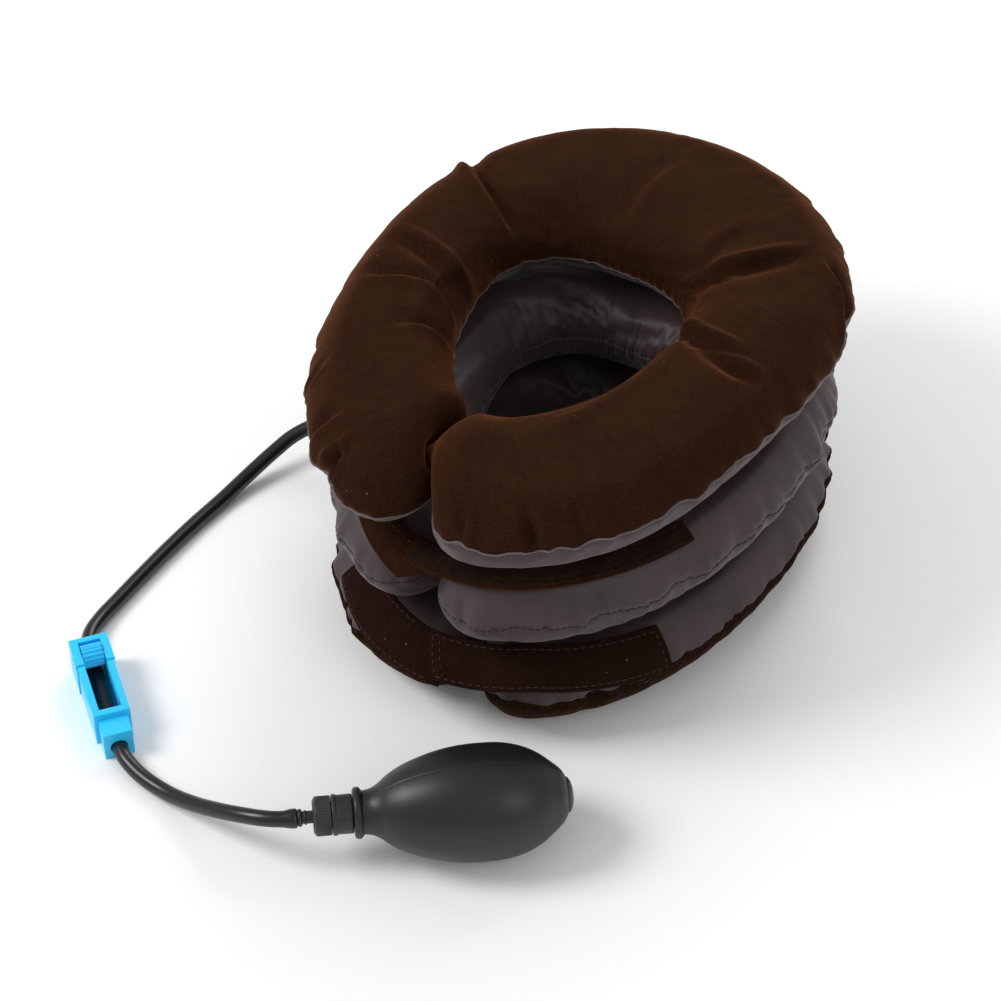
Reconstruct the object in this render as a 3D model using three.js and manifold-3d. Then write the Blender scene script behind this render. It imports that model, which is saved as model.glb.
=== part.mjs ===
// Inflatable neck traction collar with its hand pump.
// Three C-shaped air tiers are stacked on each other. A hose runs from the lowest tier, through a
// roller clamp, to a rubber squeeze bulb. Units are millimetres and +Z is up. The origin is on the
// neck's axis, in the plane that the collar stands on. +Y is the nape and -Y is the closure under
// the chin. Tier angles t run from the nape (0) over the wearer's +X side to the closure (pi).
import * as THREE from 'three';
import { mergeVertices } from 'three/addons/utils/BufferGeometryUtils.js';
import Module from 'manifold-3d';

const wasm = await Module();
wasm.setup();

// ---------------------------------------------------------------- driving dimensions
const GAP = 0.3; // running gap between separate pieces
const RING = { halfWidth: 77, nape: 82.5, chin: 126, lean: 3.5 }; // centreline of a tier's tube
const TUBE = { nape: 47, side: 31, chin: 38, height: 46 }; // half widths and full height of the tube
const TIER_GAP = 3; // room for the seam between two tiers
const ARM_END = { length: 26, bluntness: 2.4, gap: 2.4 }; // round arm ends that meet at the closure
const SKIN = 1.4; // cover cloth with its backing
const FILM = 1.4; // air bladder wall
const SECTION_SIDES = 10;
const RING_STEPS = 18;

const TIER_PITCH = TUBE.height + TIER_GAP;
const HALF_HEIGHT = TUBE.height / 2 / Math.sin(0.4 * Math.PI); // a decagon's flats sit below its radius
const LOWER = { z: TUBE.height / 2 + GAP / 2, spanX: 0.93, spanY: 0.965, width: 0.965, shift: 5.5 };
const MIDDLE = { ...LOWER, z: LOWER.z + TIER_PITCH };
const TOP = { z: MIDDLE.z + TIER_PITCH, spanX: 1, spanY: 1, width: 1, shift: 2 };

const PASSAGE = { bore: 3.2, radius: 5, flange: 9, reach: 4.5 }; // air passage between two tiers
const SEAM_WIDTH = 24; // tape that joins two tiers
const PORT = { angle: -98, radius: 4.6, bore: 2.2, flange: 8, length: 12, inside: 3 };

const HOSE_RADIUS = 3.5;
const CLAMP = {
  start: new THREE.Vector2(-148.5, -195.5), // hose enters here
  heading: -43.6, // degrees from +X
  length: 57, width: 17.5, rails: 47, floor: 2, channel: 10, rim: 18.6, step: 16, hoseZ: 6,
};
const ROLLER = { radius: 5.3, width: 9.2, ribs: 16, bore: 1.6, pin: 1.3, rest: 8.6, travel: 28 };
const PUMP = { neck: new THREE.Vector3(17, -229, 25), heading: 34.15 }; // bulb neck, bulb axis
const BULB = { radius: 25, length: 81, wall: 2.6, neckBore: 6.3, tailBore: 5 };

// Hose centreline from the collar's port to the pump's stem, laid by hand.
const HOSE_ROUTE = [
  [-107.8, -20.4, 23], [-116.2, -22, 22.4], [-124.1, -25.5, 20.7], [-131, -30.7, 18.3],
  [-136.5, -37.3, 15.4], [-140.6, -45.6, 12], [-146, -61.5, 7.2], [-150, -79.5, 4.2],
  [-153.3, -100.2, 3.7], [-155.5, -121.8, 3.7], [-156.9, -141.7, 3.7], [-157.7, -158, 3.8],
  [-158.1, -173, 4.2], [-156.9, -181.8, 4.9], [-153.6, -189.2, 5.6], [-148.5, -195.5, 6],
  [-137.6, -205.8, 6], [-122.4, -220.3, 6], [-107.2, -234.8, 6], [-101.6, -239, 5.7],
  [-94.7, -242.1, 5], [-75, -247, 5.4], [-60, -250.3, 10.2], [-45, -252.9, 16.6],
  [-31, -253.8, 22], [-24.1, -253.3, 23.8], [-17.5, -251.5, 24.7], [-11.4, -248.3, 25],
  [-9.3, -246.9, 25],
];

// ---------------------------------------------------------------- helpers
const radians = THREE.MathUtils.degToRad;

function finish(geometry, name, color, roughness = 0.6, metalness = 0) {
  const mesh = new THREE.Mesh(geometry, new THREE.MeshStandardMaterial({ color, roughness, metalness }));
  mesh.name = name;
  return mesh;
}

function solidOf(geometry) {
  const bare = geometry.clone();
  bare.deleteAttribute('normal');
  bare.deleteAttribute('uv');
  const merged = mergeVertices(bare, 1e-4);
  return new wasm.Manifold(new wasm.Mesh({
    numProp: 3,
    vertProperties: new Float32Array(merged.attributes.position.array),
    triVerts: new Uint32Array(merged.index.array),
  }));
}

function geometryOf(solid) {
  const mesh = solid.getMesh();
  const geometry = new THREE.BufferGeometry();
  geometry.setAttribute('position', new THREE.BufferAttribute(new Float32Array(mesh.vertProperties), 3));
  geometry.setIndex(new THREE.BufferAttribute(new Uint32Array(mesh.triVerts), 1));
  return geometry;
}

function cut(geometry, ...tools) {
  return geometryOf(tools.reduce((solid, tool) => solid.subtract(solidOf(tool)), solidOf(geometry)));
}

function join(...geometries) {
  return geometryOf(geometries.map(solidOf).reduce((all, solid) => all.add(solid)));
}

function box(x0, x1, y0, y1, z0, z1) {
  const geometry = new THREE.BoxGeometry(x1 - x0, y1 - y0, z1 - z0);
  return geometry.translate((x0 + x1) / 2, (y0 + y1) / 2, (z0 + z1) / 2);
}

// Upright cylinder at x, y.
function post(x, y, z0, z1, radius, sides = 20) {
  const geometry = new THREE.CylinderGeometry(radius, radius, z1 - z0, sides);
  return geometry.rotateX(Math.PI / 2).translate(x, y, (z0 + z1) / 2);
}

// A turned ring or plug: the profile is a list of [radius, height] that closes on itself or on the axis.
function turned(profile, sides = 16) {
  const points = profile.map(([radius, height]) => new THREE.Vector2(radius, height));
  const closed = profile[0][0] > 0 ? [...points, points[0].clone()] : points;
  return new THREE.LatheGeometry(closed, sides);
}

// Builds a closed geometry from a vertex grid function and triangles between the rows.
function indexed(points, triangles) {
  const geometry = new THREE.BufferGeometry();
  geometry.setAttribute('position', new THREE.Float32BufferAttribute(points.flatMap((p) => p.toArray()), 3));
  geometry.setIndex(triangles.flat());
  if (solidOf(geometry).volume() < 0) geometry.setIndex(triangles.map(([a, b, c]) => [a, c, b]).flat());
  return geometry;
}

// A sheet of some thickness: two grids of the same size, face to face, and a rim around them.
function thickSheet(outer, inner) {
  const rows = outer.length;
  const columns = outer[0].length;
  const points = [...outer.flat(), ...inner.flat()];
  const at = (side, i, j) => side * rows * columns + i * columns + j;
  const triangles = [];
  const quad = (a, b, c, d) => triangles.push([a, b, c], [a, c, d]);
  for (let i = 0; i < rows - 1; i += 1) {
    for (let j = 0; j < columns - 1; j += 1) {
      quad(at(0, i, j), at(0, i + 1, j), at(0, i + 1, j + 1), at(0, i, j + 1));
      quad(at(1, i, j), at(1, i, j + 1), at(1, i + 1, j + 1), at(1, i + 1, j));
    }
    quad(at(0, i + 1, 0), at(0, i, 0), at(1, i, 0), at(1, i + 1, 0));
    quad(at(0, i, columns - 1), at(0, i + 1, columns - 1), at(1, i + 1, columns - 1), at(1, i, columns - 1));
  }
  for (let j = 0; j < columns - 1; j += 1) {
    quad(at(0, 0, j), at(0, 0, j + 1), at(1, 0, j + 1), at(1, 0, j));
    quad(at(0, rows - 1, j + 1), at(0, rows - 1, j), at(1, rows - 1, j), at(1, rows - 1, j + 1));
  }
  return indexed(points, triangles);
}

// A tube with closed ends through rings of points.
function loft(rings) {
  const sides = rings[0].length;
  const points = rings.flat();
  const triangles = [];
  for (let i = 0; i < rings.length - 1; i += 1) {
    for (let j = 0; j < sides; j += 1) {
      const [a, b] = [i * sides + j, i * sides + ((j + 1) % sides)];
      triangles.push([a, b, b + sides], [a, b + sides, a + sides]);
    }
  }
  for (let j = 1; j < sides - 1; j += 1) {
    const last = (rings.length - 1) * sides;
    triangles.push([0, j + 1, j], [last, last + j, last + j + 1]);
  }
  return indexed(points, triangles);
}

// ---------------------------------------------------------------- shape of a tier
// The centreline is two half ellipses that meet at the sides. It leans a little to +X.
function ringFrame(tier, t) {
  const lean = RING.lean * (1 + Math.sin(t)) / 2;
  const reach = Math.cos(t) > 0 ? RING.nape : RING.chin;
  const flare = (Math.cos(t) > 0 ? TUBE.nape : TUBE.chin) - TUBE.side;
  const centre = new THREE.Vector2(
    (RING.halfWidth + lean) * Math.sin(t) * tier.spanX + tier.shift,
    reach * Math.cos(t) * tier.spanY,
  );
  const along = new THREE.Vector2(
    (RING.lean / 2 * Math.cos(t) * Math.sin(t) + (RING.halfWidth + lean) * Math.cos(t)) * tier.spanX,
    -reach * Math.sin(t) * tier.spanY,
  );
  const outward = new THREE.Vector2(-along.y, along.x).normalize();
  return { centre, outward, halfWidth: (TUBE.side + flare * Math.cos(t) ** 2 + lean) * tier.width };
}

// A point on the tube's section: phi is 0 at the outer equator and 90 degrees on top.
function tubePoint(tier, t, phi, inset = 0, scale = 1, lift = 0) {
  const { centre, outward, halfWidth } = ringFrame(tier, t);
  const across = (halfWidth - inset) * scale * Math.cos(phi);
  const up = (HALF_HEIGHT - inset) * scale * Math.sin(phi);
  return new THREE.Vector3(centre.x + outward.x * across, centre.y + outward.y * across, tier.z + up + lift);
}

// The same point, moved out along the surface's normal.
function tubeSurface(tier, t, phi, offset) {
  const { centre, outward, halfWidth } = ringFrame(tier, t);
  const normal = new THREE.Vector2(Math.cos(phi) / halfWidth, Math.sin(phi) / HALF_HEIGHT).normalize();
  const across = halfWidth * Math.cos(phi) + normal.x * offset;
  const up = HALF_HEIGHT * Math.sin(phi) + normal.y * offset;
  return new THREE.Vector3(centre.x + outward.x * across, centre.y + outward.y * across, tier.z + up);
}

// Angles along the ring, with the section's size at each: full size, but rounded off at both arm ends.
function stations(inset) {
  const tip = Math.PI - (ARM_END.gap / 2 + inset) / RING.halfWidth;
  const shoulder = Math.PI - ARM_END.length / RING.halfWidth;
  const end = [0.0015, 0.05, 0.2, 0.5].map((u) => ({
    t: THREE.MathUtils.lerp(tip, shoulder, u),
    scale: (1 - (1 - u) ** ARM_END.bluntness) ** (1 / ARM_END.bluntness),
  }));
  const middle = [];
  for (let i = 0; i <= RING_STEPS; i += 1) {
    middle.push({ t: shoulder * (2 * i / RING_STEPS - 1), scale: 1 });
  }
  const start = end.map(({ t, scale }) => ({ t: -t, scale }));
  return [...start, ...middle, ...end.reverse()];
}

function sectionGrid(tier, inset, fromSide, toSide, lift = 0) {
  return stations(inset).map(({ t, scale }) => {
    const row = [];
    for (let j = fromSide; j <= toSide; j += 1) {
      row.push(tubePoint(tier, t, 2 * Math.PI * j / SECTION_SIDES, inset, scale, lift));
    }
    return row;
  });
}

// Cloth over the upper or the lower half of a tier, parted at the equator.
function panel(tier, upper, ...holes) {
  const from = upper ? 0 : SECTION_SIDES / 2;
  const to = from + SECTION_SIDES / 2;
  const lift = upper ? GAP / 2 : -GAP / 2;
  const sheet = thickSheet(
    sectionGrid(tier, 0, from, to, lift),
    sectionGrid(tier, SKIN, from, to, lift),
  );
  return holes.length > 0 ? cut(sheet, ...holes) : sheet;
}

// The air bladder inside a tier: a closed tube of film, open only at its holes.
function bladder(tier, ...holes) {
  const outside = SKIN + GAP + 0.1;
  const shell = (inset) => loft(sectionGrid(tier, inset, 0, SECTION_SIDES - 1));
  return cut(shell(outside), shell(outside + FILM), ...holes);
}

// A band that lies on a tier's outer side. Its edges are given as [t, phi low, phi high] in degrees.
function band(tier, edges, inside, thickness, columns = 5) {
  const stepMax = 5;
  const outer = [];
  const inner = [];
  for (let k = 0; k < edges.length - 1; k += 1) {
    const steps = Math.ceil(Math.abs(edges[k + 1][0] - edges[k][0]) / stepMax);
    const isLast = k === edges.length - 2;
    for (let i = 0; i < steps + (isLast ? 1 : 0); i += 1) {
      const [t, low, high] = edges[k].map((value, n) => THREE.MathUtils.lerp(value, edges[k + 1][n], i / steps));
      const place = (offset) => Array.from({ length: columns }, (_, j) => {
        const phi = THREE.MathUtils.lerp(low, high, j / (columns - 1));
        return tubeSurface(tier, radians(t), radians(phi), offset);
      });
      inner.push(place(inside));
      outer.push(place(inside + thickness));
    }
  }
  return thickSheet(outer, inner);
}

// ---------------------------------------------------------------- tiers
const velvet = 0x30200f;
const satin = 0x4b4041;
const film = 0xbfb9ad;

function passageSpot(below, above) {
  const low = ringFrame(below, 0).centre;
  const high = ringFrame(above, 0).centre;
  return low.clone().add(high).multiplyScalar(0.5);
}

const passages = [[LOWER, MIDDLE], [MIDDLE, TOP]].map(([below, above]) => {
  const spot = passageSpot(below, above);
  const floor = below.z + TUBE.height / 2;
  const ceiling = floor + TIER_GAP;
  const hole = post(spot.x, spot.y, floor - 12, ceiling + 12, PASSAGE.radius + GAP);
  return { spot, floor, ceiling, hole, above };
});

function passageTube({ spot, floor, ceiling }) {
  const { bore, radius, flange, reach } = PASSAGE;
  const profile = [
    [bore, floor - reach], [radius, floor - reach], [radius, floor + 0.6], [flange, floor + 0.6],
    [flange, ceiling - 0.6], [radius, ceiling - 0.6], [radius, ceiling + reach], [bore, ceiling + reach],
  ];
  return turned(profile).rotateX(Math.PI / 2).translate(spot.x, spot.y, 0);
}

// Tape along the middle of the tubes, which joins a tier to the one below it.
function seamTape({ spot, floor, ceiling, above }) {
  const rows = (z) => stations(8).filter(({ scale }) => scale === 1).map(({ t }) => {
    const { centre, outward } = ringFrame(above, t);
    const side = (across) => new THREE.Vector3(
      centre.x + outward.x * across, centre.y + outward.y * across, z,
    );
    return [side(-SEAM_WIDTH / 2), side(SEAM_WIDTH / 2)];
  });
  const tape = thickSheet(rows(ceiling - 0.8), rows(floor + 0.8));
  return cut(tape, post(spot.x, spot.y, floor, ceiling, PASSAGE.flange + GAP));
}

const port = ringFrame(LOWER, radians(PORT.angle));
const portSpot = port.centre.clone().addScaledVector(port.outward, port.halfWidth);
const portHeading = port.outward.angle();
const portHole = new THREE.CylinderGeometry(PORT.radius + GAP, PORT.radius + GAP, 30, 16)
  .rotateZ(portHeading - Math.PI / 2)
  .translate(portSpot.x, portSpot.y, LOWER.z);

const tiers = [
  finish(panel(LOWER, false, portHole), 'lower_tier_bottom_panel', velvet, 0.95),
  finish(panel(LOWER, true, portHole, passages[0].hole), 'lower_tier_top_panel', satin, 0.55),
  finish(bladder(LOWER, portHole, passages[0].hole), 'lower_bladder', film, 0.4),
  finish(panel(MIDDLE, false, passages[0].hole), 'middle_tier_bottom_panel', satin, 0.55),
  finish(panel(MIDDLE, true, passages[1].hole), 'middle_tier_top_panel', satin, 0.55),
  finish(bladder(MIDDLE, passages[0].hole, passages[1].hole), 'middle_bladder', film, 0.4),
  finish(panel(TOP, false, passages[1].hole), 'top_tier_bottom_panel', satin, 0.55),
  finish(panel(TOP, true), 'top_tier_top_panel', velvet, 0.95),
  finish(bladder(TOP, passages[1].hole), 'top_bladder', film, 0.4),
  finish(passageTube(passages[0]), 'lower_air_passage', film, 0.4),
  finish(passageTube(passages[1]), 'upper_air_passage', film, 0.4),
  finish(seamTape(passages[0]), 'lower_seam_tape', satin, 0.7),
  finish(seamTape(passages[1]), 'upper_seam_tape', satin, 0.7),
];

// ---------------------------------------------------------------- closures
// Each closure is a tab sewn to one arm, and a strap sewn to the tab. The strap's hook tape grips a
// loop patch on the other arm. All of them lie on the outside of the tube, in layers.
const LAYER = { tab: [0.5, 1.2], loop: [0.5, 0.8], hook: [1.6, 0.8], strap: [2.7, 1.2] };
const strapCloth = 0x22130e;

const closures = [
  ['lower_base_tab', LOWER, [[213, 27, 60], [176, 27, 58]], LAYER.tab, strapCloth],
  ['lower_strap', LOWER, [[185, 25, 58], [160, 26, 60], [132, 10, 50]], LAYER.strap, strapCloth],
  ['lower_hook_tape', LOWER, [[154, 26, 55], [135, 14, 48]], LAYER.hook, 0x121010],
  ['lower_loop_patch', LOWER, [[168, 28, 58], [130, 12, 48]], LAYER.loop, velvet],
  ['upper_base_tab', MIDDLE, [[207, 42, 62], [187.5, 27, 62], [182, 42, 62], [172, 47, 62]], LAYER.tab, strapCloth],
  ['upper_strap', MIDDLE, [[188, 42, 62], [150, 42, 62], [125, 40, 58]], LAYER.strap, strapCloth],
  ['upper_hook_tape', MIDDLE, [[150, 43, 60], [128, 42, 56]], LAYER.hook, 0x121010],
  ['upper_loop_patch', MIDDLE, [[165, 40, 61], [124, 38, 58]], LAYER.loop, velvet],
].map(([name, tier, edges, [inside, thickness], color]) => (
  finish(band(tier, edges, inside, thickness), name, color, 0.95)
));

// ---------------------------------------------------------------- hose and its port
const portPiece = finish(turned([
  [PORT.bore, -PORT.inside], [PORT.radius, -PORT.inside], [PORT.radius, 0.6], [PORT.flange, 0.6],
  [PORT.flange, 1.8], [PORT.radius + 0.8, 2.6], [PORT.radius - 0.4, PORT.length], [PORT.bore, PORT.length],
], 16), 'hose_port', 0x1a1a1b, 0.5);
portPiece.rotation.z = portHeading - Math.PI / 2;
portPiece.position.set(portSpot.x, portSpot.y, LOWER.z);

function hose() {
  const route = new THREE.CatmullRomCurve3(HOSE_ROUTE.map((p) => new THREE.Vector3(...p)));
  const section = new THREE.Shape();
  section.absarc(0, 0, HOSE_RADIUS, 0, 2 * Math.PI);
  return new THREE.ExtrudeGeometry(section, { steps: 48, curveSegments: 4, extrudePath: route });
}

// ---------------------------------------------------------------- roller clamp
// Its own frame: x along the hose, y across, z up from the standing surface.
function clampBody() {
  const { length, width, rails, floor, channel, rim, step, hoseZ } = CLAMP;
  const half = width / 2;
  const neck = half - 2.2;
  const tunnel = new THREE.CylinderGeometry(HOSE_RADIUS + 0.4, HOSE_RADIUS + 0.4, 2 * length, 20)
    .rotateZ(Math.PI / 2)
    .translate(length / 2, 0, hoseZ);
  const pinHeight = hoseZ + HOSE_RADIUS + GAP + ROLLER.radius;
  const slot = box(
    ROLLER.rest - 1.6, ROLLER.rest + ROLLER.travel + 1.6, -width, width, pinHeight - 1.55, pinHeight + 1.55,
  );
  const body = join(
    cut(
      box(0, rails, -half, half, 0, rim),
      box(-1, rails - 3, -channel / 2, channel / 2, floor, rim + 1),
      box(step, rails + 1, -width, width, rim - 0.9, rim + 1),
      box(step, rails + 1, half - 0.6, width, -1, rim),
      box(step, rails + 1, -width, 0.6 - half, -1, rim),
    ),
    box(rails - 0.5, length, -neck, neck, 0, rim - 4),
    box(0, 2.6, -half + 0.5, half - 0.5, hoseZ + HOSE_RADIUS + 0.8, rim),
  );
  return cut(body, tunnel, slot);
}

function ribbedRoller() {
  const outline = new THREE.Shape();
  const corners = 2 * ROLLER.ribs;
  for (let i = 0; i < 2 * corners; i += 1) {
    const radius = i % 4 < 2 ? ROLLER.radius : ROLLER.radius - 0.7;
    const angle = Math.PI * i / corners;
    const move = i === 0 ? 'moveTo' : 'lineTo';
    outline[move](radius * Math.cos(angle), radius * Math.sin(angle));
  }
  outline.holes.push(new THREE.Path().absarc(0, 0, ROLLER.bore, 0, 2 * Math.PI, true));
  const extruded = new THREE.ExtrudeGeometry(outline, {
    depth: ROLLER.width, bevelEnabled: false, curveSegments: 8,
  });
  return extruded.translate(0, 0, -ROLLER.width / 2).rotateX(Math.PI / 2);
}

const clamp = new THREE.Group();
clamp.position.set(CLAMP.start.x, CLAMP.start.y, 0);
clamp.rotation.z = radians(CLAMP.heading);
const roller = finish(ribbedRoller(), 'clamp_roller', 0x1ea0e0, 0.4);
const rollerPin = finish(
  new THREE.CylinderGeometry(ROLLER.pin, ROLLER.pin, CLAMP.width - 1.6, 16), 'clamp_roller_pin', 0x1c8fcb, 0.4,
);
for (const piece of [roller, rollerPin]) {
  piece.position.set(ROLLER.rest, 0, CLAMP.hoseZ + HOSE_RADIUS + GAP + ROLLER.radius);
}
clamp.add(finish(clampBody(), 'clamp_body', 0x2aaeee, 0.35), roller, rollerPin);

// ---------------------------------------------------------------- pump
// Turned about the bulb's axis: heights are measured from the bulb's neck, towards its tail.
function bulbRadius(s) {
  // s runs from 0 at the neck to 1 at the tail: an egg with its fullest part a little past the middle
  const skewed = s ** 0.88;
  return 7.4 + (BULB.radius - 7.4) * Math.sin(Math.PI * skewed) ** 0.62;
}

function bulb() {
  const outer = [];
  const inner = [];
  const steps = 10;
  for (let i = 0; i <= steps; i += 1) {
    const s = (1 - Math.cos(Math.PI * i / steps)) / 2;
    outer.push([Math.max(bulbRadius(s), s < 0.5 ? 9.3 : 7.4), s * BULB.length]);
    const bore = s < 0.5 ? BULB.neckBore : BULB.tailBore;
    inner.push([Math.max(bulbRadius(s) - BULB.wall, bore), s * BULB.length]);
  }
  inner[0][0] = BULB.neckBore;
  inner[steps][0] = BULB.tailBore;
  const neck = [[BULB.neckBore, -8.5], [10.2, -8.5], [11, -7.6], [11, -4.7], [10.2, -3.8], [9.3, -3.4]];
  return turned([...neck, ...outer, ...inner.reverse()], 20);
}

function knurledCollar() {
  const outline = (hole) => {
    const teeth = 14;
    const shape = new THREE.Shape();
    for (let i = 0; i < 4 * teeth; i += 1) {
      const radius = i % 4 < 2 ? 8.4 : 7.8;
      const angle = Math.PI * i / (2 * teeth);
      const move = i === 0 ? 'moveTo' : 'lineTo';
      shape[move](radius * Math.cos(angle), radius * Math.sin(angle));
    }
    shape.holes.push(new THREE.Path().absarc(0, 0, hole, 0, 2 * Math.PI, true));
    return shape;
  };
  const slice = (hole, from, to) => new THREE.ExtrudeGeometry(outline(hole), {
    depth: to - from, bevelEnabled: false, curveSegments: 8,
  }).translate(0, 0, from).rotateX(-Math.PI / 2);
  return join(slice(3.1, -25.4, -24.3), slice(5.7, -24.5, -17.4));
}

const pump = new THREE.Group();
pump.position.copy(PUMP.neck);
pump.rotation.z = radians(PUMP.heading) - Math.PI / 2;
pump.add(
  finish(turned([
    [1.3, -31.4], [3.3, -31.4], [3.8, -30.6], [3.8, -29.8], [2.75, -29.2], [2.75, -24.1], [5.2, -24.1],
    [5.2, -22.9], [1.3, -22.9],
  ], 16), 'hose_stem', 0x18181a, 0.35),
  finish(new THREE.TorusGeometry(3.9, 0.5, 6, 14).rotateX(Math.PI / 2).translate(0, -22.1, 0),
    'stem_seal', 0x8c2f1c, 0.6),
  finish(knurledCollar(), 'release_collar', 0x2e2e30, 0.55),
  finish(turned([
    [1.5, -21.3], [5.3, -21.3], [5.3, -17.1], [8.9, -17.1], [8.9, -14.7], [8.5, -14.4], [8.5, -8.9],
    [5.9, -8.9], [5.9, 5], [1.6, 5], [1.6, -7.2], [4.3, -7.2], [4.3, -11], [1.5, -11],
  ], 16), 'valve_body', 0x202022, 0.45),
  finish(turned([[0, -8.7], [3.9, -8.7], [3.9, -7.6], [0, -7.6]], 20), 'outlet_check_disc', 0x9a9a94, 0.6),
  finish(bulb(), 'bulb', 0x343435, 0.6),
  finish(turned([
    [1.3, 70], [4.7, 70], [4.7, BULB.length + 0.4], [7.2, BULB.length + 0.4], [6.9, BULB.length + 2],
    [4.4, BULB.length + 3.2], [1.4, BULB.length + 3.2], [1.4, 78], [2.9, 78], [2.9, 72], [1.3, 72],
  ], 16), 'tail_valve_housing', 0x18181a, 0.4),
  finish(new THREE.SphereGeometry(2.4, 12, 6).translate(0, 75.2, 0), 'tail_check_ball', 0xb8b8ba, 0.3, 0.8),
);

// ---------------------------------------------------------------- whole object
const collar = new THREE.Group();
collar.add(...tiers, ...closures, portPiece, finish(hose(), 'hose', 0x161617, 0.35), clamp, pump);

export default collar;
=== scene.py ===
import math

import bpy
import numpy as np
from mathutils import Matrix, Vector


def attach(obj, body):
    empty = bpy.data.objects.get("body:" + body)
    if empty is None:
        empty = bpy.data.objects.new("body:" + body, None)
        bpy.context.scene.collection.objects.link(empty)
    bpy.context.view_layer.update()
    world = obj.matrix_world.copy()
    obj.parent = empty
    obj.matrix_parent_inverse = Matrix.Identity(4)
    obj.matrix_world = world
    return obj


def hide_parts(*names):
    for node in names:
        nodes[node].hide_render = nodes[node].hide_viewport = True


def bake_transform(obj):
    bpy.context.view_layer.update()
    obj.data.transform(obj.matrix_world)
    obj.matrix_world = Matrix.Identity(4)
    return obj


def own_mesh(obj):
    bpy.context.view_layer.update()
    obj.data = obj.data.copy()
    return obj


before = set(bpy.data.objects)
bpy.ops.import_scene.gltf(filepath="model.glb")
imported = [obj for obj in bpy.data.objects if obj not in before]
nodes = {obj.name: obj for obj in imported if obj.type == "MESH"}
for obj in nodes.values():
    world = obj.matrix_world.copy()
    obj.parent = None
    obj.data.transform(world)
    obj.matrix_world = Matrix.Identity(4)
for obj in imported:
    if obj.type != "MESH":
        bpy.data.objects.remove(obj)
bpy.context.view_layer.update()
scene = bpy.context.scene
MM = 0.001
radians = math.radians

# ---------------------------------------------------------------- sizes
# These are the CAD's, in mm, apart from the arm ends, which are a little blunter and shorter here.
RING = {"half_width": 77, "nape": 82.5, "chin": 126, "lean": 3.5}
TUBE = {"nape": 47, "side": 31, "chin": 38, "height": 46}
ARM_END = {"length": 22, "bluntness": 2.6, "gap": 2.4}
HALF_HEIGHT = TUBE["height"] / 2 / math.sin(0.4 * math.pi)
TIER_PITCH = 49
LOWER = {"z": 23.15, "span_x": 0.93, "span_y": 0.965, "width": 0.965, "shift": 5.5}
MIDDLE = {**LOWER, "z": LOWER["z"] + TIER_PITCH}
TOP = {"z": MIDDLE["z"] + TIER_PITCH, "span_x": 1, "span_y": 1, "width": 1, "shift": 2}
TIERS = {"lower": LOWER, "middle": MIDDLE, "top": TOP}

HOSE_RADIUS = 3.5
HOSE_ROUTE = [
    (-107.8, -20.4, 23), (-116.2, -22, 22.4), (-124.1, -25.5, 20.7), (-131, -30.7, 18.3),
    (-136.5, -37.3, 15.4), (-140.6, -45.6, 12), (-146, -61.5, 7.2), (-150, -79.5, 4.2),
    (-153.3, -100.2, 3.7), (-155.5, -121.8, 3.7), (-156.9, -141.7, 3.7), (-157.7, -158, 3.8),
    (-158.1, -173, 4.2), (-156.9, -181.8, 4.9), (-153.6, -189.2, 5.6), (-148.5, -195.5, 6),
    (-137.6, -205.8, 6), (-122.4, -220.3, 6), (-107.2, -234.8, 6), (-101.6, -239, 5.7),
    (-94.7, -242.1, 5), (-75, -247, 5.4), (-60, -250.3, 10.2), (-45, -252.9, 16.6),
    (-31, -253.8, 22), (-24.1, -253.3, 23.8), (-17.5, -251.5, 24.7), (-11.4, -248.3, 25),
    (-9.3, -246.9, 25),
]
PUMP_NECK = np.array([17, -229, 25.0])
PUMP_HEADING = radians(34.15)
PUMP_AXIS = np.array([math.cos(PUMP_HEADING), math.sin(PUMP_HEADING), 0])
PUMP_BEHIND, PUMP_AHEAD = 40, 100  # how far the pump's axis is drawn behind and ahead of the neck


# ---------------------------------------------------------------- camera, light and floor
def make_camera():
    look = Vector((-0.0349, -0.0155, 0))
    azimuth, elevation, distance = radians(27.7), radians(44), 1.4
    level = math.cos(elevation)
    back = Vector((math.sin(azimuth) * level, -math.cos(azimuth) * level, math.sin(elevation)))
    data = bpy.data.cameras.new("camera")
    data.lens, data.sensor_width = 105.7, 36
    data.clip_start, data.clip_end = 0.05, 20
    camera = bpy.data.objects.new("camera", data)
    camera.location = look + back * distance
    camera.rotation_mode = "QUATERNION"
    camera.rotation_quaternion = (-back).to_track_quat("-Z", "Y")
    scene.collection.objects.link(camera)
    scene.camera = camera


def area_light(name, place, size, watts, tint=(1, 1, 1)):
    data = bpy.data.lights.new(name, "AREA")
    data.shape, data.size, data.energy, data.color = "DISK", size, watts, tint
    light = bpy.data.objects.new(name, data)
    light.location = place
    light.rotation_mode = "QUATERNION"
    light.rotation_quaternion = Vector(place).to_track_quat("Z", "Y")
    scene.collection.objects.link(light)


def make_stage():
    bpy.ops.mesh.primitive_plane_add(size=8)
    floor = bpy.context.object
    floor.name = "floor"
    paint, _, shader = new_material("floor_paint", (0.98, 0.98, 0.98), 0.8)
    setup(shader, Specular_IOR_Level=0.2)
    floor.data.materials.append(paint)
    world = bpy.data.worlds.new("studio")
    world.use_nodes = True
    setup(world.node_tree.nodes["Background"], Color=(1, 1, 1, 1), Strength=0.52)
    scene.world = world
    area_light("key", (-1.0, -0.7, 1.2), 0.7, 14)
    area_light("fill", (1.1, -0.5, 0.9), 0.9, 3)
    area_light("back", (-0.1, 1.2, 1.1), 0.9, 9)
    scene.view_settings.view_transform = "Standard"


# ---------------------------------------------------------------- materials
def feed(socket, value):
    """Links a socket to another one, or sets its own value."""
    if isinstance(value, bpy.types.NodeSocket):
        socket.id_data.links.new(value, socket)
    else:
        socket.default_value = value


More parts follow.
